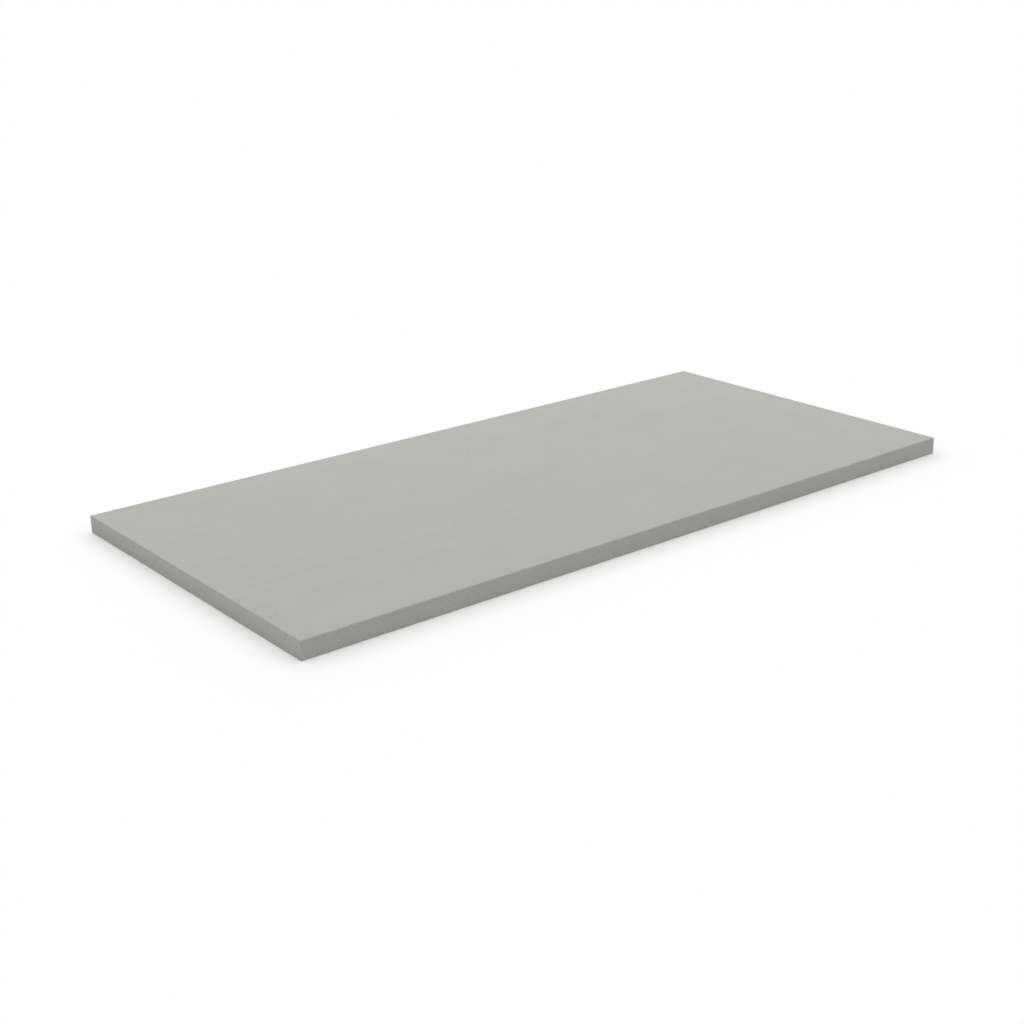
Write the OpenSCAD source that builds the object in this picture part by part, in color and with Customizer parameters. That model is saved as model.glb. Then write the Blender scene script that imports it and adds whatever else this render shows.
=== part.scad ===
// Plasterboard, one sheet of thick board with square edges, lying face up.
// The long edges are bound: the face liner folds down round each one and a
// short way across the back, and the back liner is stuck over that fold.
// The short ends are cut square, so their arrises are sharp.
// X runs along the bound edges, Y across the sheet and Z up through it.
// The origin is under the middle of the back face.

/* [Sheet] */
// Length along the bound edges
board_length = 1250; // [600:10:3000]
// Width between the two bound edges
board_width = 600; // [300:5:1250]
// Thickness, from the back liner to the face liner
board_thickness = 28; // [9.5:0.5:40]

/* [Bound edges] */
// Radius where the face liner folds down onto the edge
face_fold_radius = 1.5; // [0.5:0.25:3]
// Radius where it folds again, onto the back
back_fold_radius = 1; // [0.5:0.25:3]

/* [Back] */
// Width of the folded face liner that shows along each bound edge
lap_reveal = 14; // [8:1:40]
// Thickness of a liner, and so the step where the back liner ends
liner_thickness = 0.4; // [0.2:0.05:0.6]

/* [Hidden] */
liner_grey = [0.72, 0.72, 0.70];
fold_facets = 64;
overcut = 1;

// What a fold leaves out of a square corner that points up and outwards,
// with the corner itself at the origin.
module fold_waste(radius) {
    difference() {
        translate([-radius, -radius]) square(radius + overcut);
        translate([-radius, -radius]) circle(radius, $fn = fold_facets);
    }
}

// The strip beside a bound edge where the back liner stops short, which
// leaves the folded face liner showing one liner's thickness higher.
module lap_step() {
    translate([board_width / 2 - lap_reveal, -overcut])
        square([lap_reveal + overcut, overcut + liner_thickness]);
}

// Everything that one bound edge takes out of the plain section.
module bound_edge_cuts() {
    translate([board_width / 2, board_thickness]) fold_waste(face_fold_radius);
    translate([board_width / 2, liner_thickness])
        mirror([0, 1]) fold_waste(back_fold_radius);
    lap_step();
}

// The section across the sheet, with the back face on the ground line.
module section() {
    difference() {
        translate([-board_width / 2, 0]) square([board_width, board_thickness]);
        bound_edge_cuts();
        mirror([1, 0]) bound_edge_cuts();
    }
}

// The section runs the whole length and is cut off square at both ends.
module plasterboard() {
    color(liner_grey)
        rotate([90, 0, 90])
            linear_extrude(board_length, center = true) section();
}

plasterboard();
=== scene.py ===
# %% [markdown]
# # A sheet of thick plasterboard
#
# A plasterboard is a core of set gypsum between two sheets of stout grey
# paper, its liners. The face liner is folded round both long edges. The short
# ends are sawn square, so the core shows there between the liners' edges.
# The sheet lies face up on a pale floor in soft light.
#
# Everything below is in metres, in that part's own frame: X runs along the
# sheet, Y across it and Z up.

# %% Load the measured part
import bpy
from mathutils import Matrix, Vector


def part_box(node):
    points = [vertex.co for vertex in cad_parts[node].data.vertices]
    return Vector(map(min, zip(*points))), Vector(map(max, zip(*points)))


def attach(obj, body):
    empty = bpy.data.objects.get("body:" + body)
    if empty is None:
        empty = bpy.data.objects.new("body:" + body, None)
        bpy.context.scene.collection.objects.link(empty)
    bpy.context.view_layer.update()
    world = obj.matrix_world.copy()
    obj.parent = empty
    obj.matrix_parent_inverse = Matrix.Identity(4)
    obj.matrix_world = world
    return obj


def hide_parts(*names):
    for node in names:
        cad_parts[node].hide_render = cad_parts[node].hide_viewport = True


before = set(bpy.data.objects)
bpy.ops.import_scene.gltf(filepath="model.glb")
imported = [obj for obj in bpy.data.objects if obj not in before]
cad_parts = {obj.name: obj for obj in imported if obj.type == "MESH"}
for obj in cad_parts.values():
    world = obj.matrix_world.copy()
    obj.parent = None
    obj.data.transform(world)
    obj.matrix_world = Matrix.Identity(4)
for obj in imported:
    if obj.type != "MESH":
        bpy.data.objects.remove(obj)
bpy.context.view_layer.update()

from math import cos, pi, radians, sin

import bpy
import numpy as np
from mathutils import Matrix, Vector

MM = 0.001
low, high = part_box("plasterboard")
length, width, thickness = high - low
print(f"sheet {length / MM:.0f} x {width / MM:.0f} x {thickness / MM:.0f} mm")

# %% [markdown]
# ## The camera
#
# A camera could be placed by eye until the picture looks right. A flat sheet
# with straight edges gives more: its edges fix the camera, because only one
# place and one lens put a box of these proportions over the pictured edges.
# The camera looks along a heading and down by a tilt, and it leans a little.
# Its place is kept in lengths of the sheet from the near corner, and its focal
# length in pixels of the square picture. No lens shift is needed, and depth of
# field stays off.

# %% Camera
picture_pixels = 1024
focal_pixels = 1565.9
sensor_mm = 36
near_corner = Vector((low.x, low.y, high.z))
camera_from_corner = length * Vector((-0.7067, -1.2277, 0.6379))
heading, tilt_down, lean = radians(51.546), radians(19.924), radians(-1.099)


def looking(heading, tilt_down, lean):
    """The turn of a camera. Forward is the heading lowered by the tilt, right is level and
    square to it, up is square to both, and the lean turns right and up about forward."""
    level_part = cos(tilt_down)
    forward = Vector((cos(heading) * level_part, sin(heading) * level_part, -sin(tilt_down)))
    level = Vector((sin(heading), -cos(heading), 0))
    upward = level.cross(forward)
    right = cos(lean) * level + sin(lean) * upward
    up = cos(lean) * upward - sin(lean) * level
    return Matrix((right, up, -forward)).transposed().to_4x4()


lens = bpy.data.cameras.new("photo_camera")
lens.sensor_width = sensor_mm
lens.lens = focal_pixels / picture_pixels * sensor_mm
camera = bpy.data.objects.new("photo_camera", lens)
place = near_corner + camera_from_corner
camera.matrix_world = Matrix.Translation(place) @ looking(heading, tilt_down, lean)
bpy.context.scene.collection.objects.link(camera)
bpy.context.scene.camera = camera
bpy.context.scene.view_settings.view_transform = "Standard"
print("camera at", [round(v, 3) for v in place], "lens", round(lens.lens, 2), "mm")

# %% [markdown]
# ## Short ways to build a node tree
#
# The world, the floor and the sheet's paper and gypsum are all node trees. Each
# could be wired by hand, node by node, but then the wiring hides what it is
# for. These few helpers make one node each and hand on its output, so a tree
# reads like the sum that it works out.

# %% Node helpers
WHITE = 1.0, 1.0, 1.0, 1.0
BLACK = 0.0, 0.0, 0.0, 1.0


def add_node(tree, kind, settings=(), **inputs):
    """A node with its settings made. Its inputs, named with _ for a space or by _ and a
    number, are set to a value or joined to another node's output."""
    node = tree.nodes.new(kind)
    for name, value in dict(settings).items():
        setattr(node, name, value)
    for name, value in inputs.items():
        socket = node.inputs[int(name[1:]) if name[0] == "_" else name.replace("_", " ")]
        if isinstance(value, bpy.types.NodeSocket):
            tree.links.new(value, socket)
        else:
            socket.default_value = value
    return node


def worked(tree, operation, first, second=0.0):
    """The result of one step of arithmetic."""
    step = add_node(tree, "ShaderNodeMath", {"operation": operation}, _0=first, _1=second)
    return step.outputs[0]


def worked_vector(tree, operation, first, second=(0.0, 0.0, 0.0)):
    """The result of one step of arithmetic on vectors, which is a number for a length."""
    step = add_node(tree, "ShaderNodeVectorMath", {"operation": operation}, _0=first, _1=second)
    return step.outputs["Value" if operation == "LENGTH" else "Vector"]


def weighed(tree, parts):
    """The sum of outputs times their weights."""
    total = 0.0
    for output, weight in parts:
        total = worked(tree, "ADD", worked(tree, "MULTIPLY", output, weight), total)
    return total


def carried(tree, value, start, stop, low_out, high_out):
    """The value carried from the range start to stop over to another, and held inside it."""
    span = {"From_Min": start, "From_Max": stop, "To_Min": low_out, "To_Max": high_out}
    return add_node(tree, "ShaderNodeMapRange", Value=value, **span).outputs["Result"]


def blended(tree, share, none, full):
    """A colour between two, by the share of the second one."""
    mix = add_node(tree, "ShaderNodeMix", {"data_type": "RGBA"}, Factor=share, _6=none, _7=full)
    return mix.outputs[2]


def object_place(tree):
    """The place on the object, in metres."""
    return add_node(tree, "ShaderNodeTexCoord").outputs["Object"]


def seen_directly(tree):
    """1 for a ray from the camera, off a gloss or through glass, and 0 for one off a dull
    surface."""
    path = add_node(tree, "ShaderNodeLightPath").outputs
    camera_or_gloss = worked(tree, "MAXIMUM", path["Is Camera Ray"], path["Is Glossy Ray"])
    return worked(tree, "MAXIMUM", camera_or_gloss, path["Is Transmission Ray"])


print("node helpers are ready")

# %% [markdown]
# ## The light
#
# Soft studio light can come from softboxes or from the world itself. Softboxes
# alone would leave the far floor grey, so the world gives nearly all of the
# light, evenly, and one weak softbox, high behind the sheet, gives the rest. It
# grazes the paper, whose far end turns a little paler than its near corner. At
# the middle of the sheet the two light a level white surface to exactly white,
# so colours render as they are written, and the upright edges, which see only
# half of the sky, stand darker than the face.
#
# What the camera and a gloss see of the world is plain white. Only its light
# on dull surfaces is set lower.

# %% World and softbox
sky_level = 0.95
softbox_level = 0.05
softbox_place = Vector((0.5, 2.1, 1.7))
softbox_size = 1.2

world = bpy.data.worlds.new("studio")
world.use_nodes = True
sky = world.node_tree
sky.nodes.clear()
sky_strength = carried(sky, seen_directly(sky), 0, 1, sky_level, 1)
sky_light = add_node(sky, "ShaderNodeBackground", Color=WHITE, Strength=sky_strength)
add_node(sky, "ShaderNodeOutputWorld", Surface=sky_light.outputs[0])
bpy.context.scene.world = world

softbox_light = bpy.data.lights.new("softbox", "AREA")
softbox_light.size = softbox_size
lamp_distance = softbox_place.length
share_on_level = softbox_place.z / lamp_distance
# Where 1 is the light of a white sky, a level surface gets the lamp's energy times the share
# that a slanting ray leaves on it, over the square of pi times the distance.
softbox_light.energy = softbox_level * (pi * lamp_distance) ** 2 / share_on_level
softbox = bpy.data.objects.new("softbox", softbox_light)
softbox.location = softbox_place
softbox.rotation_euler = softbox_place.to_track_quat("Z", "Y").to_euler()
softbox.visible_camera = False
bpy.context.scene.collection.objects.link(softbox)
print("light on a level white surface:", sky_level + softbox_level)
print("softbox:", round(softbox_light.energy, 1), "W at", round(lamp_distance, 2), "m")

# %% [markdown]
# ## The floor
#
# The floor is one wide square under the sheet. The camera sees it white with
# the sheet's soft shadow on it, and a little way out from the sheet it goes
# over into plain white, the same as the backdrop, so no horizon shows. To the
# sheet the floor is a grey that throws back only as much light on the upright
# edges as the picture shows.

# %% Floor
floor_reach = 40.0
floor_gap = 0.05 * MM
floor_bounce = 0.50, 0.50, 0.50, 1.0
shadow_depth = 0.95
shadow_glow = 0.07
plain_from, plain_to = 0.03, 0.16


def out_from_sheet(tree):
    """How far a place lies outside the sheet's outline: the length of what is left of each
    coordinate, without its sign, once half the sheet's size is taken off."""
    unsigned = worked_vector(tree, "ABSOLUTE", object_place(tree))
    half_size = length / 2, width / 2, thickness / 2
    left_over = worked_vector(tree, "SUBTRACT", unsigned, half_size)
    return worked_vector(tree, "LENGTH", worked_vector(tree, "MAXIMUM", left_over))


def floor_finish():
    """Dull paint. Seen directly it is white, and a part of that white glows, which lightens
    the shadow, up to all of it far out. For light thrown back it is a grey with no glow."""
    paint = bpy.data.materials.new("floor_paint")
    paint.use_nodes = True
    tree = paint.node_tree
    tree.nodes.clear()
    seen = seen_directly(tree)
    shaded = carried(tree, out_from_sheet(tree), plain_from, plain_to, 1, 0)
    white_part = worked(tree, "MULTIPLY", shaded, shadow_depth)
    glow = carried(tree, shaded, 0, 1, 1, shadow_glow)
    tone = blended(tree, seen, floor_bounce, blended(tree, white_part, BLACK, WHITE))
    dull = add_node(tree, "ShaderNodeBsdfDiffuse", Color=tone)
    shining = add_node(tree, "ShaderNodeEmission", Strength=worked(tree, "MULTIPLY", glow, seen))
    both = add_node(tree, "ShaderNodeAddShader", _0=dull.outputs[0], _1=shining.outputs[0])
    add_node(tree, "ShaderNodeOutputMaterial", Surface=both.outputs[0])
    return paint


square = (-1, -1), (1, -1), (1, 1), (-1, 1)
floor_corners = [(x * floor_reach, y * floor_reach, -floor_gap) for x, y in square]
floor_mesh = bpy.data.meshes.new("floor")
floor_mesh.from_pydata(floor_corners, [], [(0, 1, 2, 3)])
floor_mesh.materials.append(floor_finish())
floor = bpy.data.objects.new("floor", floor_mesh)
bpy.context.scene.collection.objects.link(floor)
print("floor reaches", floor_reach, "m each way")

# %% [markdown]
# ## The section across the sheet
#
# A plank could be a box with a Bevel modifier, but a bevel gives all its edges
# the same round. Here the section is drawn as one closed line instead, so each
# fold has its own radius, and the step on the back is there too: the face
# liner is folded under the long edges, and the back liner, stuck over it,
# stops a little short of them. These sizes are the measured part's own. Its
# box alone doesn't tell them, so they are given here again.
#
# The line is kept in four runs, one for each side. They meet in the middle of
# the folds, so a square grid can later be stretched over the cut ends.

# %% Runs of points
def half_fold(centre, radius, start, end, steps):
    """Half of a fold, as an arc: the centre plus the radius times cosine and sine of an angle
    that goes evenly from start to end, in degrees."""
    angle = np.radians(np.linspace(start, end, steps + 1))
    return np.stack([centre[0] + radius * np.cos(angle), centre[1] + radius * np.sin(angle)], 1)


def straight(start, end, steps):
    """Points evenly from start to end, both ends in."""
    share = np.linspace(0, 1, steps + 1)[:, None]
    return (1 - share) * np.array(start) + share * np.array(end)


def joined(*runs):
    """Runs laid end to end, each without the first point, which ends the run before it."""
    return np.concatenate([runs[0]] + [run[1:] for run in runs[1:]])


def mirrored(run):
    """A run on the other side of the sheet's middle, in the opposite order."""
    return run[::-1] * [-1, 1]


print("a fold in 3 points:", half_fold((0, 0), 1, 90, 45, 2).round(2).tolist())

# %% Section
face_fold = 1.5 * MM
back_fold = 1.0 * MM
lap_reveal = 14 * MM
liner = 0.4 * MM
step_slope = 0.15 * MM
fold_steps = 4
coarse_pitch = 6 * MM
fine_pitch = 0.95 * MM


def level_side(near_fold, lap_end, lap_height, middle_height, lap_steps, middle_steps):
    """The face or the back, from the near fold to the far one: the lap beside each fold at
    its height, a short slope to the height of the middle, and the middle."""
    slope_end = -lap_end + step_slope
    near_part = joined(
        near_fold,
        straight((near_fold[-1, 0], lap_height), (-lap_end, lap_height), lap_steps),
        straight((-lap_end, lap_height), (slope_end, middle_height), 1),
    )
    middle = straight((slope_end, middle_height), (-slope_end, middle_height), middle_steps)
    return joined(near_part, middle, mirrored(near_part))


def section_sides(steps_per_face):
    """The section's face, near edge, back and far edge, each as points (y, z) in the order of
    rising y or rising z. Every straight stretch of the coarse section is cut into the same
    number of shorter steps in the fine one, so that the two share their coarse points."""
    half, lap_end = width / 2, width / 2 - lap_reveal
    face_centre = -half + face_fold, thickness - face_fold
    back_centre = -half + back_fold, liner + back_fold
    lap_steps = round(lap_reveal / coarse_pitch) * steps_per_face
    middle_steps = round(2 * lap_end / coarse_pitch) * steps_per_face
    edge_steps = round((face_centre[1] - back_centre[1]) / coarse_pitch) * steps_per_face
    over_face = half_fold(face_centre, face_fold, 135, 90, fold_steps)
    under_back = half_fold(back_centre, back_fold, 225, 270, fold_steps)
    near = joined(
        half_fold(back_centre, back_fold, 225, 180, fold_steps),
        straight((-half, back_centre[1]), (-half, face_centre[1]), edge_steps),
        half_fold(face_centre, face_fold, 180, 135, fold_steps),
    )
    face = level_side(over_face, lap_end, thickness, thickness, lap_steps, middle_steps)
    back = level_side(under_back, lap_end, liner, 0, lap_steps, middle_steps)
    return face, near, back, near * [-1, 1]


def section_loop(face, near, back, far):
    """The four sides as one closed line, going round from the near end of the face."""
    return np.concatenate([face[:-1], far[::-1][:-1], back[::-1][:-1], near[:-1]])


refine = round(coarse_pitch / fine_pitch)
coarse_sides, fine_sides = section_sides(1), section_sides(refine)
coarse_loop, fine_loop = section_loop(*coarse_sides), section_loop(*fine_sides)
coarse_count, fine_count = len(coarse_loop), len(fine_loop)
print("section points, coarse and fine:", coarse_count, fine_count)

# %% [markdown]
# ## The skin that the liners make
#
# The section is carried along the sheet. Stout paper on set gypsum is nearly
# flat but not quite, so each point is pressed in by a few hundredths of a
# millimetre, which long, faint waves decide. They only ever press inwards, so
# the sheet keeps its measured size.

# %% Carry the section along
station_pitch = 11 * MM
worn = 0.15 * MM
wave_depth = 0.05 * MM
waves_per_metre = 14, 9, 23, 31
wave_headings = 0.3, 1.2, 2.0, 2.7
wave_climb = 2


def pushed_in(loop, depth):
    """A closed line moved inwards: each point goes along the mean of the inward normals of
    its two neighbouring edges, stretched so that the edges themselves move by the depth."""
    along = np.roll(loop, -1, 0) - loop
    along /= np.linalg.norm(along, axis=1, keepdims=True)
    normal = np.stack([along[:, 1], -along[:, 0]], 1)
    mean = normal + np.roll(normal, 1, 0)
    mean /= 1 + (normal * np.roll(normal, 1, 0)).sum(1, keepdims=True)
    return loop + np.reshape(depth, (-1, 1)) * mean


def faint_waves(x, y, z):
    """From 0 to 1: the mean of a few plane waves. Each is a half plus half the sine of its
    turns, which are its count for each metre along its heading, faster up the edges, and a
    start that is set by the heading too."""
    turns = [
        count * (x * cos(heading) + y * sin(heading) + wave_climb * z) + heading
        for count, heading in zip(waves_per_metre, wave_headings)
    ]
    return sum(0.5 + 0.5 * np.sin(2 * pi * turn) for turn in turns) / len(turns)


def station(loop, x, depth=0.0):
    """The closed line at one x, pushed in by the depth, as points in space."""
    flat = pushed_in(loop, np.broadcast_to(depth, len(loop)))
    return np.column_stack([np.full(len(loop), x), flat])


half_length = length / 2
body_end = half_length - worn
station_count = round(2 * body_end / station_pitch)
inner_x = np.linspace(-body_end, body_end, station_count + 1)[1:-1]
inner_stations = [
    station(coarse_loop, x, wave_depth * faint_waves(x, *coarse_loop.T)) for x in inner_x
]
print("stations along the sheet:", station_count + 1)

# %% [markdown]
# ## The cut ends
#
# A saw leaves the liners' edges as thin clean rims and drags a little out of
# the core between them. The core shows faint arcs from the saw and the open
# bubbles of set gypsum foam. A sheet is cast face down, and the bubbles rise
# before it sets, so more of them lie near its back. A bump map could fake all
# that, but seen along the edge it would stay flat, so the ends get a fine grid
# of their own and the marks are cut into it.
#
# The grid is stretched over the section by blending its four sides. The marks
# are worked out as one depth for each point of it.

# %% Smooth noise and bubbles
bubble_count = 520
bubble_radius = 0.55 * MM, 1.7 * MM
bubble_thinning = 3
bubble_rise = 1.5
bubble_shallow = 0.5


def value_noise(across, up, pitch, seed):
    """Random numbers from -1 to 1 on a square lattice of one pitch, blended between its
    points with weights 3t^2 - 2t^3 in both directions."""
    column, row = across / pitch, up / pitch
    whole_column, whole_row = np.floor(column).astype(int), np.floor(row).astype(int)
    whole_column, column = whole_column - whole_column.min(), column - whole_column
    whole_row, row = whole_row - whole_row.min(), row - whole_row
    lattice_size = whole_column.max() + 2, whole_row.max() + 2
    lattice = np.random.default_rng(seed).uniform(-1, 1, lattice_size)
    column, row = column**2 * (3 - 2 * column), row**2 * (3 - 2 * row)

    def between_columns(at_row):
        """The lattice at whole rows, blended from each whole column to the next."""
        left, right = lattice[whole_column, at_row], lattice[whole_column + 1, at_row]
        return left * (1 - column) + right * column

    return between_columns(whole_row) * (1 - row) + between_columns(whole_row + 1) * row


def bubbles(y, z, seed):
    """Depth of open bubbles: for a bubble of radius r at a distance d, the square root of
    r^2 - d^2 where that is real, times a share that makes it a shallow bowl. Radii and
    heights are even shares of their range raised to a power, so that large bubbles are few
    and more of them lie near the back."""
    rng = np.random.default_rng(seed)
    centres = rng.uniform((-width / 2, 0), (width / 2, 1), (bubble_count, 2))
    centres[:, 1] = thickness * centres[:, 1] ** bubble_rise
    small, large = bubble_radius
    radii = small + (large - small) * rng.uniform(0, 1, bubble_count) ** bubble_thinning
    depth = np.zeros(y.shape)
    for (centre_y, centre_z), radius in zip(centres, radii):
        bowl = radius**2 - (y - centre_y) ** 2 - (z - centre_z) ** 2
        depth = np.maximum(depth, bubble_shallow * np.sqrt(np.maximum(bowl, 0)))
    return depth


print("bubbles on each end:", bubble_count)

# %% Depth of the saw cut
core_recess = 0.12 * MM
grit_depth = 0.10 * MM
coarse_grit, fine_grit = 4.3 * MM, 1.7 * MM
coarse_share = 0.6
saw_mark_depth = 0.07 * MM
saw_radius = 160 * MM
saw_lean = 0.6
saw_pitch = 3.1 * MM


def saw_cut_depth(y, z, seed):
    """How far the cut core lies behind the liners' edges: a base, plus grit in two sizes, plus
    arcs that a blade of one radius left at unequal pitch, plus the bubbles it opened."""
    coarse, fine = value_noise(y, z, coarse_grit, seed), value_noise(y, z, fine_grit, seed + 1)
    grit = coarse_share * coarse + (1 - coarse_share) * fine
    arc = y + z**2 / (2 * saw_radius) + saw_lean * z
    feed = value_noise(arc, 0 * z, saw_pitch, seed + 2)
    marks = grit_depth * (0.5 + 0.5 * grit) + saw_mark_depth * (0.5 + 0.5 * feed)
    return core_recess + marks + bubbles(y, z, seed + 3)


print(f"saw marks up to {(core_recess + grit_depth + saw_mark_depth) / MM:.2f} mm deep")

# %% Stretch a grid over the section
rim_slope = 0.06 * MM
edge_fade = 8 * MM
corner_sweeps = 30


def split_sides(loop):
    """The closed line taken apart again into the face, near edge, back and far edge."""
    across, up = len(fine_sides[0]), len(fine_sides[1])
    face_end, far_end, back_end = across - 1, across + up - 2, 2 * across + up - 3
    closed = np.concatenate([loop, loop[:1]])
    face, far = closed[: face_end + 1], closed[face_end : far_end + 1][::-1]
    back, near = closed[far_end : back_end + 1][::-1], closed[back_end:]
    return face, near, back, far


def stretched(face, near, back, far):
    """Grid rows from back to face. Each point is the blend of back and face by its height v,
    plus how far the edge beside it stands off the straight line between that edge's ends,
    times the square of a weight that falls from 1 at the edge to 0 at the fade's distance."""
    v = ((near[:, 1] - near[0, 1]) / (near[-1, 1] - near[0, 1]))[:, None, None]
    grid = (1 - v) * back[None] + v * face[None]
    for edge, column in ((near, 0), (far, -1)):
        standing_off = edge - grid[:, column]
        inward = np.abs(face[:, 0] - face[column, 0]) / edge_fade
        grid = grid + np.maximum(1 - inward, 0)[None, :, None] ** 2 * standing_off[:, None]
    return grid


def relaxed_corners(grid, reach, sweeps):
    """The grid with its inner points near the four corners eased apart, where two sides meet
    in one round fold: each moves to the mean of its four neighbours, some sweeps over."""
    grid = grid.copy()
    rows, columns = np.indices(grid.shape[:2])
    from_side = np.minimum(columns, grid.shape[1] - 1 - columns)
    from_base = np.minimum(rows, grid.shape[0] - 1 - rows)
    eased = ((from_side < reach) & (from_base < reach))[1:-1, 1:-1, None]
    for _ in range(sweeps):
        mean = (grid[:-2, 1:-1] + grid[2:, 1:-1] + grid[1:-1, :-2] + grid[1:-1, 2:]) / 4
        grid[1:-1, 1:-1] = np.where(eased, mean, grid[1:-1, 1:-1])
    return grid


core_loop = pushed_in(fine_loop, np.full(fine_count, liner + rim_slope))
core_grid = relaxed_corners(stretched(*split_sides(core_loop)), fold_steps + 1, corner_sweeps)
print("grid on each cut end:", core_grid.shape[1], "x", core_grid.shape[0])

# %% [markdown]
# ## One closed mesh
#
# The sheet is one piece of stock, so it is one closed mesh and not a skin with
# lids. All its rows of points go into one list, and the faces are index
# numbers worked out as whole arrays. Where a coarse row meets a fine one, each
# face has one coarse side and one or more fine ones, so no seam is left open.

# %% Rows of points
left_seed, right_seed = 11, 23
points, rows = [], {}


def cut_end(x, seed):
    """The points of one cut end at x: the worn edge of the liners, the rim's outer and inner
    lines, and the grid of the core, which lies behind the rim by the depth of the saw cut."""
    inward = -np.sign(x)
    depth = saw_cut_depth(core_grid[..., 0], core_grid[..., 1], seed)
    depth[[0, -1]], depth[:, [0, -1]] = core_recess, core_recess
    core = np.concatenate([x + inward * depth[..., None], core_grid], 2)
    return {
        "worn": station(fine_loop, x + inward * worn),
        "rim": station(fine_loop, x, worn),
        "rim inside": station(fine_loop, x, liner),
        "core": core.reshape(-1, 3),
    }


def add_row(name, new_points):
    """Notes where a row starts in the list of points, and adds it there."""
    rows[name] = sum(len(row) for row in points)
    points.append(new_points)


for side, x, seed in (("left", -half_length, left_seed), ("right", half_length, right_seed)):
    for part, new_points in cut_end(x, seed).items():
        add_row(f"{side} {part}", new_points)
add_row("stations", np.concatenate(inner_stations))
points = np.concatenate(points)
print("points:", len(points), "rows:", len(rows))

# %% Helpers that join rows
FACE_LINER, BACK_LINER, CORE = range(3)
faces, finish_of_face = [], []


def liner_beside(loop):
    """The finish of each step of a closed line: the back liner where both its ends are lower
    than half a liner's thickness above the ground, and the face liner elsewhere."""
    low_point = loop[:, 1] < liner / 2
    return np.where(low_point & np.roll(low_point, -1), BACK_LINER, FACE_LINER)


def add_faces(new_faces, finish, outwards):
    """Adds faces, given as an array of index numbers, all of one finish or each of its own.
    On the left end, where outwards is -1, they are turned round."""
    faces.extend(new_faces[:, ::outwards].tolist())
    finish_of_face.extend(np.broadcast_to(finish, len(new_faces)).tolist())


def ring(outer, inner, finish, outwards):
    """Quads between two closed rows with the same number of points."""
    quads = np.stack([outer, inner, np.roll(inner, -1), np.roll(outer, -1)], 1)
    add_faces(quads, finish, outwards)


def knit(coarse, fine, outwards):
    """Faces between a closed coarse row and a fine one, each with one coarse side. They are
    made in groups that have the same number of fine sides, so that each group is one array."""
    fine_sides_each = (np.roll(shared, -1) - shared) % fine_count
    for sides in np.unique(fine_sides_each):
        chosen = fine_sides_each == sides
        run = fine[(shared[chosen][:, None] + np.arange(sides + 1)) % fine_count]
        polygons = np.column_stack([run, np.roll(coarse, -1)[chosen], coarse[chosen]])
        add_faces(polygons, coarse_finish[chosen], outwards)


spread = np.abs(coarse_loop[:, None] - fine_loop[None]).sum(2)
shared = spread.argmin(1)
coarse_finish, fine_finish = liner_beside(coarse_loop), liner_beside(fine_loop)
print("widest miss where coarse and fine points meet:", f"{spread.min(1).max():.1e} m")

# %% Faces of the whole sheet
around_coarse, around_fine = np.arange(coarse_count), np.arange(fine_count)
first_station, last_station = 0, len(inner_x) - 1
for number in range(last_station):
    here = rows["stations"] + number * coarse_count + around_coarse
    ring(here, here + coarse_count, coarse_finish, 1)

grid = np.arange(core_grid[..., 0].size).reshape(core_grid.shape[:2])
border = np.concatenate([grid[-1, :-1], grid[::-1, -1][:-1], grid[0, ::-1][:-1], grid[:-1, 0]])
squares = np.stack([grid[:-1, :-1], grid[:-1, 1:], grid[1:, 1:], grid[1:, :-1]], 2).reshape(-1, 4)
for side, outwards, nearest in (("left", -1, first_station), ("right", 1, last_station)):
    worn_row, rim, inside = (
        rows[f"{side} {part}"] + around_fine for part in ("worn", "rim", "rim inside")
    )
    core = rows[f"{side} core"]
    knit(rows["stations"] + nearest * coarse_count + around_coarse, worn_row, outwards)
    ring(worn_row, rim, fine_finish, outwards)
    ring(rim, inside, fine_finish, outwards)
    ring(inside, core + border, CORE, outwards)
    add_faces(core + squares, CORE, outwards)
print("faces:", len(faces))

# %% Board
crisp_angle = radians(40)
board_mesh = bpy.data.meshes.new("board")
board_mesh.from_pydata(points.tolist(), [], faces)
board_mesh.polygons.foreach_set("material_index", np.array(finish_of_face, np.int32))
board_mesh.shade_smooth()
board_mesh.set_sharp_from_angle(angle=crisp_angle)
board = bpy.data.objects.new("plasterboard_sheet", board_mesh)
bpy.context.scene.collection.objects.link(board)
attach(board, "root")
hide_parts("plasterboard")
board_mesh.calc_loop_triangles()
print("triangles:", len(board_mesh.loop_triangles))

# %% [markdown]
# ## A flat map of the sheet
#
# The patterns below are worked out in space and need no map. When the model is
# exported, though, they are baked into a picture, and an automatic unwrap would
# tear the rough ends into thousands of scraps. So the sheet is laid flat like a
# cut-out box: face, back, two long edges and the two ends at double size.

# %% Flat map
map_gap = 8 * MM
end_scale = 2


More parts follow.
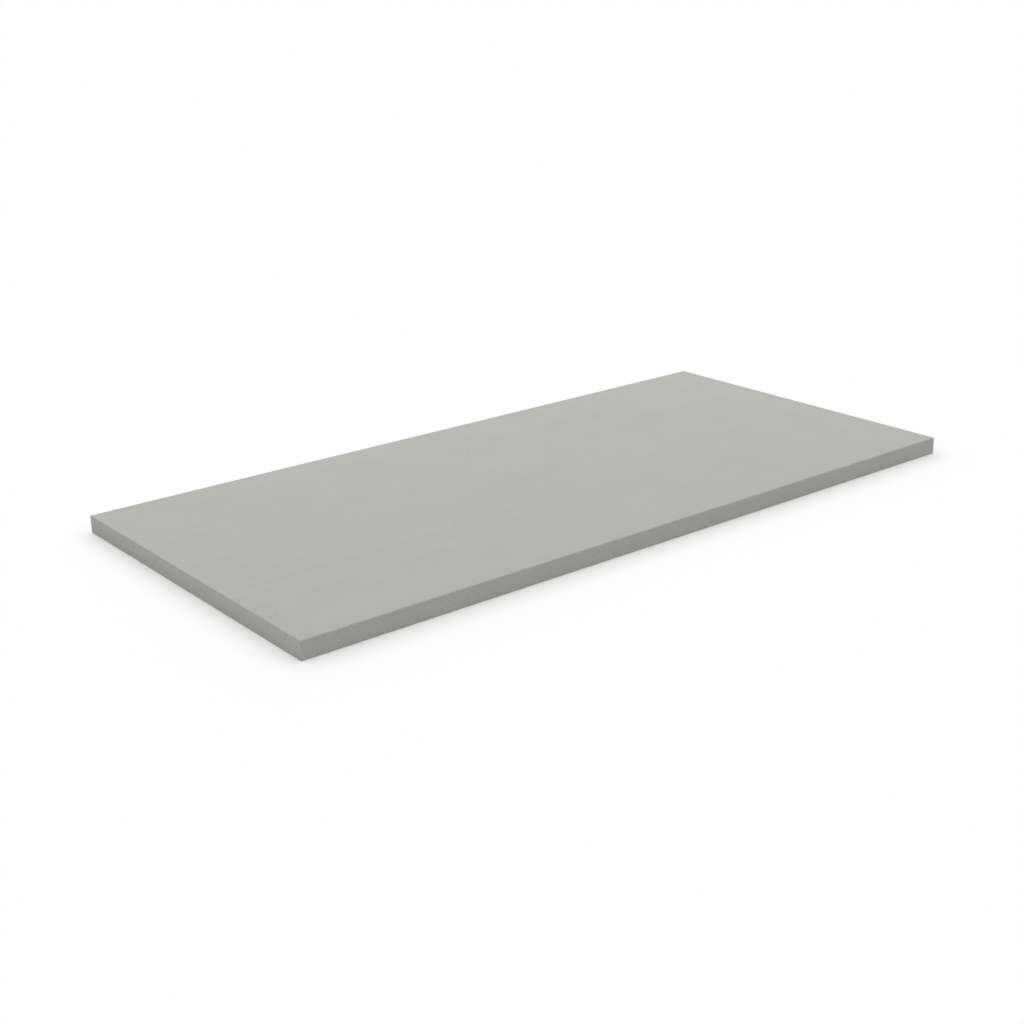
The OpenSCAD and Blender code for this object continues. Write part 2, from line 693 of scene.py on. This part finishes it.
def laid_flat(mesh, finishes):
    """For each corner of each face, its place on the flat map, from 0 to 1: the two
    coordinates of the side that the face looks towards, moved up by the strips before it. All
    of the core belongs to the ends, also where the wall of a bubble looks sideways."""
    corner_point = np.empty(len(mesh.loops), np.int32)
    mesh.loops.foreach_get("vertex_index", corner_point)
    sides_each = np.empty(len(mesh.polygons), np.int32)
    mesh.polygons.foreach_get("loop_total", sides_each)
    normal = np.empty(len(mesh.polygons) * 3, np.float32)
    mesh.polygons.foreach_get("normal", normal)
    normal = np.repeat(normal.reshape(-1, 3), sides_each, axis=0)
    x, y, z = (points[corner_point] - np.array(low)).T
    axis = np.where(np.repeat(finishes, sides_each) == CORE, 0, np.abs(normal).argmax(1))
    up_end, end_height = end_scale * z, end_scale * thickness
    strips = [
        ((axis == 2) & (normal[:, 2] > 0), x, y, width),
        ((axis == 2) & (normal[:, 2] < 0), x, width - y, width),
        ((axis == 1) & (normal[:, 1] < 0), x, z, thickness),
        ((axis == 1) & (normal[:, 1] > 0), length - x, z, thickness),
        ((axis == 0) & (normal[:, 0] < 0), end_scale * (width - y), up_end, end_height),
        ((axis == 0) & (normal[:, 0] > 0), end_scale * y, up_end, end_height),
    ]
    flat, start = np.zeros((len(x), 2)), 0.0
    for chosen, across, up, height in strips:
        flat[chosen] = np.stack([across, start + up], 1)[chosen] + map_gap / 2
        start += height + map_gap
    return flat / start, start


flat, map_size = laid_flat(board_mesh, finish_of_face)
flat_map = board_mesh.uv_layers.new(name="OFBake")
flat_map.uv.foreach_set("vector", flat.astype(np.float32).ravel())
print("flat map stands for", round(map_size, 3), "m")

# %% [markdown]
# ## Liner paper
#
# The liners are pressed from grey pulp. Close to, they show short fibres that
# lie mostly along the sheet, soft clouds where the pulp is thicker, long faint
# streaks from the rollers, and a dark fleck now and then. From a few steps
# back they are one even, matt grey. The fibres stand up a little and catch
# light at a low angle, which sheen gives.
#
# One stretched noise would look like brushed metal. So two are crossed, each
# turned a little off the length of the sheet, as fibres settle in a pulp. Where
# the paper folds over an arris it is rubbed, so it is a little paler there.
#
# A picture of paper could be laid over the sheet instead, but it would stretch
# or repeat somewhere. Patterns worked out in space never do, and they run
# round the folds unbroken. They are read from Object coordinates, in metres,
# so the scale of a pattern is one over its real size.

# %% Helpers for finishes
def new_finish(name):
    """A new material, its node tree and its surface shader."""
    finish = bpy.data.materials.new(name)
    finish.use_nodes = True
    return finish, finish.node_tree, finish.node_tree.nodes["Principled BSDF"]


def shade(grey, factor):
    """A colour made lighter or darker by a factor."""
    return tuple(part * factor for part in grey) + (1.0,)


def noise(tree, where, size, detail=2.0):
    """Cloudy noise whose features are about as large as the size."""
    cloud = add_node(tree, "ShaderNodeTexNoise", Vector=where, Scale=1 / size, Detail=detail)
    return cloud.outputs["Fac"]


def relief(tree, surface, height, depth):
    """Raises and lowers the surface by the height, times a depth in metres."""
    bump = add_node(tree, "ShaderNodeBump", Height=height, Strength=1.0, Distance=depth)
    tree.links.new(bump.outputs[0], surface.inputs["Normal"])


def lying_along(tree, where, heading, slimness):
    """The place, turned and shrunk so that a pattern read there lies along the heading and is
    longer there, by the slimness, than it is wide."""
    turn = {"Rotation": (0, 0, heading), "Scale": (slimness, 1, 1)}
    kind = {"vector_type": "TEXTURE"}
    return add_node(tree, "ShaderNodeMapping", kind, Vector=where, **turn).outputs[0]


print("helpers for finishes are ready")

# %% Rubbed folds
rub_reach, rub_shade = 2 * MM, 1.06
rub_patch_size = 35 * MM
rub_patch_from, rub_patch_to, least_rub = 0.35, 0.65, 0.2


def on_arris(tree, where):
    """From 0 to 1 over the last few millimetres before an upper fold, more on some stretches
    than on others: how far out across the sheet, times how far up, times a noise."""
    _, y, z = add_node(tree, "ShaderNodeSeparateXYZ", Vector=where).outputs
    beside = carried(tree, worked(tree, "ABSOLUTE", y), width / 2 - rub_reach, width / 2, 0, 1)
    above = carried(tree, z, thickness - rub_reach, thickness, 0, 1)
    cloudy = noise(tree, where, rub_patch_size)
    patches = carried(tree, cloudy, rub_patch_from, rub_patch_to, least_rub, 1)
    return worked(tree, "MULTIPLY", worked(tree, "MULTIPLY", beside, above), patches)


print(f"folds are rubbed over {rub_reach / MM:.0f} mm")

# %% Liner paper
face_grey = 0.407, 0.406, 0.379
back_grey = 0.374, 0.371, 0.345
fibre_headings = radians(-13), radians(18)
fibre_size, fibre_slimness = 0.7 * MM, 6
pulp_size, cloud_size = 3.5 * MM, 70 * MM
streak_size, streak_slimness = 11 * MM, 40
paper_weights = 0.3, 0.22, 0.3, 0.09, 0.09
fleck_size, fleck_slimness, fleck_shade = 0.65 * MM, 3, 0.78
fleck_from, fleck_full = 0.76, 0.81
paper_roughness, roughness_swing = 0.74, 0.3
paper_relief_weights = 0.4, 0.3, 0.3
paper_sheen, sheen_roughness = 0.40, 0.4
porous_gloss = 0.3


def liner_paper(name, grey, contrast, fibre_height):
    """Grey liner paper with fibres, pulp, clouds, streaks, flecks and rubbed folds. At a
    contrast of 1 its pattern would go from black to twice the grey."""
    finish, tree, surface = new_finish(name)
    where = object_place(tree)
    strands = [
        noise(tree, lying_along(tree, where, heading, fibre_slimness), fibre_size, detail=3)
        for heading in fibre_headings
    ]
    pulp, clouds = noise(tree, where, pulp_size, detail=4), noise(tree, where, cloud_size)
    streaks = noise(tree, lying_along(tree, where, 0, streak_slimness), streak_size)
    pattern = weighed(tree, zip((*strands, pulp, clouds, streaks), paper_weights))
    plain = blended(tree, pattern, shade(grey, 1 - contrast), shade(grey, 1 + contrast))
    fleck_place = lying_along(tree, where, fibre_headings[1], fleck_slimness)
    dash = noise(tree, fleck_place, fleck_size, detail=0)
    flecks = carried(tree, dash, fleck_from, fleck_full, 0, 1)
    flecked = blended(tree, flecks, plain, shade(grey, fleck_shade))
    rubbed = blended(tree, on_arris(tree, where), flecked, shade(grey, rub_shade))
    tree.links.new(rubbed, surface.inputs["Base Color"])
    rough = paper_roughness + roughness_swing / 2, paper_roughness - roughness_swing / 2
    tree.links.new(carried(tree, pattern, 0, 1, *rough), surface.inputs["Roughness"])
    raised = weighed(tree, zip((*strands, pulp), paper_relief_weights))
    relief(tree, surface, raised, fibre_height)
    surface.inputs["Specular IOR Level"].default_value = porous_gloss
    surface.inputs["Sheen Weight"].default_value = paper_sheen
    surface.inputs["Sheen Roughness"].default_value = sheen_roughness
    return finish


face_liner = liner_paper("face_liner", face_grey, contrast=0.52, fibre_height=0.12 * MM)
back_liner = liner_paper("back_liner", back_grey, contrast=0.66, fibre_height=0.16 * MM)
board_mesh.materials.append(face_liner)
board_mesh.materials.append(back_liner)
print("liners:", [finish.name for finish in board_mesh.materials])

# %% [markdown]
# ## Sawn gypsum
#
# The core is set gypsum foam, a little paler than the paper. The saw leaves it
# gritty, with streaks of dust along the arcs of its teeth and open pores in
# many sizes, which are darkened with painted shade. Next to the liners the
# gypsum is denser and has no pores. The core's tone is also painted paler
# towards the face and darker towards the back: painted shade, for the shade of
# the floor that falls on the lower part of the cut end.
#
# Pores could be one pattern of equal dots, which looks printed. Here each cell
# of the pattern draws its own pore size, many draw none, and their outlines
# are warped.

# %% Pores and saw streaks
pore_spacings = 4.2 * MM, 1.5 * MM
largest_pore, pore_rim = 0.30, 0.08
pore_drawn_from = 0.55
pore_warp = 0.7


def pores(tree, where, spacing):
    """1 inside a pore and 0 outside. In each cell the pore reaches as far from the cell's own
    point as a random number says, and the place is shifted by a noise first."""
    shift = add_node(tree, "ShaderNodeTexNoise", Vector=where, Scale=1 / spacing).outputs["Color"]
    moved = worked_vector(tree, "MULTIPLY", shift, (pore_warp * spacing,) * 3)
    warped = worked_vector(tree, "ADD", where, moved)
    cell = add_node(tree, "ShaderNodeTexVoronoi", Vector=warped, Scale=1 / spacing)
    drawn = add_node(tree, "ShaderNodeSeparateXYZ", Vector=cell.outputs["Color"]).outputs[0]
    reach = carried(tree, drawn, pore_drawn_from, 1, 0, largest_pore)
    beyond = worked(tree, "SUBTRACT", cell.outputs["Distance"], reach)
    return carried(tree, beyond, -pore_rim, 0, 1, 0)


def saw_streaks(tree, y, z):
    """Noise along the same arcs as the saw cut: y plus z squared over twice the radius, plus
    the lean times z."""
    bend = worked(tree, "MULTIPLY", z, z)
    arc = weighed(tree, ((y, 1), (bend, 1 / (2 * saw_radius)), (z, saw_lean)))
    kind = {"noise_dimensions": "1D"}
    return add_node(tree, "ShaderNodeTexNoise", kind, W=arc, Scale=1 / saw_pitch).outputs["Fac"]


print("pores every", [f"{spacing / MM:.1f} mm" for spacing in pore_spacings])

# %% Sawn gypsum
core_grey = 0.449, 0.448, 0.418
grit_size, dust_size = 0.8 * MM, 8 * MM
core_weights = 0.4, 0.25, 0.35
dense_skin = 1.8 * MM
# Painted shade: how far the core's tone swings from darker at the back to paler at the face.
painted_shade_swing = 0.2
# The second number darkens the pores: painted shade inside them.
powder_contrast, pore_painted_shade = 0.36, 0.76
roughest, smoothest = 1.0, 0.84
core_relief_weights = 0.5, 0.3, -0.6
sawn_height = 0.16 * MM


def sawn_gypsum():
    """Set gypsum as a saw leaves it: grit, dust along the saw's arcs, and pores, which are
    darkened with painted shade. Its pattern also rises from half the swing below the middle
    tone at the back to as much above it at the face: painted shade, darker towards the bottom."""
    finish, tree, surface = new_finish("sawn_gypsum")
    where = object_place(tree)
    _, y, z = add_node(tree, "ShaderNodeSeparateXYZ", Vector=where).outputs
    grit, dust = noise(tree, where, grit_size, detail=4), noise(tree, where, dust_size, detail=3)
    streaks = saw_streaks(tree, y, z)
    from_middle = worked(tree, "ABSOLUTE", worked(tree, "SUBTRACT", z, thickness / 2))
    foam_edge = thickness / 2 - dense_skin
    foamed = carried(tree, from_middle, foam_edge, foam_edge + dense_skin / 2, 1, 0)
    large, small = (pores(tree, where, spacing) for spacing in pore_spacings)
    open_pores = worked(tree, "MULTIPLY", worked(tree, "MAXIMUM", large, small), foamed)
    # Painted shade: a ramp from -0.5 at the back to 0.5 at the face, so the lower part of the cut
    # end is darker.
    painted_shade_ramp = carried(tree, z, 0, thickness, -0.5, 0.5)
    patterns, weights = (grit, dust, streaks, painted_shade_ramp), (*core_weights, painted_shade_swing)
    pattern = weighed(tree, zip(patterns, weights))
    dark, light = shade(core_grey, 1 - powder_contrast), shade(core_grey, 1 + powder_contrast)
    powder = blended(tree, pattern, dark, light)
    # Painted shade: the pores are darkened as if shadowed inside.
    pitted_with_painted_shade = blended(tree, open_pores, powder, shade(core_grey, pore_painted_shade))
    tree.links.new(pitted_with_painted_shade, surface.inputs["Base Color"])
    tree.links.new(carried(tree, pattern, 0, 1, roughest, smoothest), surface.inputs["Roughness"])
    raised = weighed(tree, zip((grit, streaks, open_pores), core_relief_weights))
    relief(tree, surface, raised, sawn_height)
    surface.inputs["Specular IOR Level"].default_value = porous_gloss
    return finish


board_mesh.materials.append(sawn_gypsum())
print("finishes:", [finish.name for finish in board_mesh.materials])
